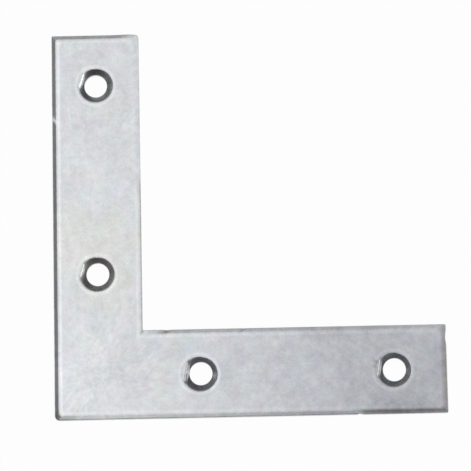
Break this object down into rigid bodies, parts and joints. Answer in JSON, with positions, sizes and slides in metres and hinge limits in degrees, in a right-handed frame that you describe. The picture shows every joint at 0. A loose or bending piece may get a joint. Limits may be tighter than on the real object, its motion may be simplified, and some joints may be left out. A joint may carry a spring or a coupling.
{
  "type": "flat corner plate",
  "caption": "Flat L-shaped corner bracket of plated sheet steel, screwed across the corner of a frame through countersunk holes.",
  "frame": {"origin": "where the two hole lines cross, on the flat back face", "axes": "+X and +Y along the two legs, from the corner to the leg ends; +Z out of the countersunk front face"},
  "size_m": [0.075, 0.075, 0.002],
  "materials": {
    "plated_steel": "bright zinc plate, satin"
  },
  "bodies": {
    "root": {"corner_plate": "plated_steel"}
  },
  "joints": []
}
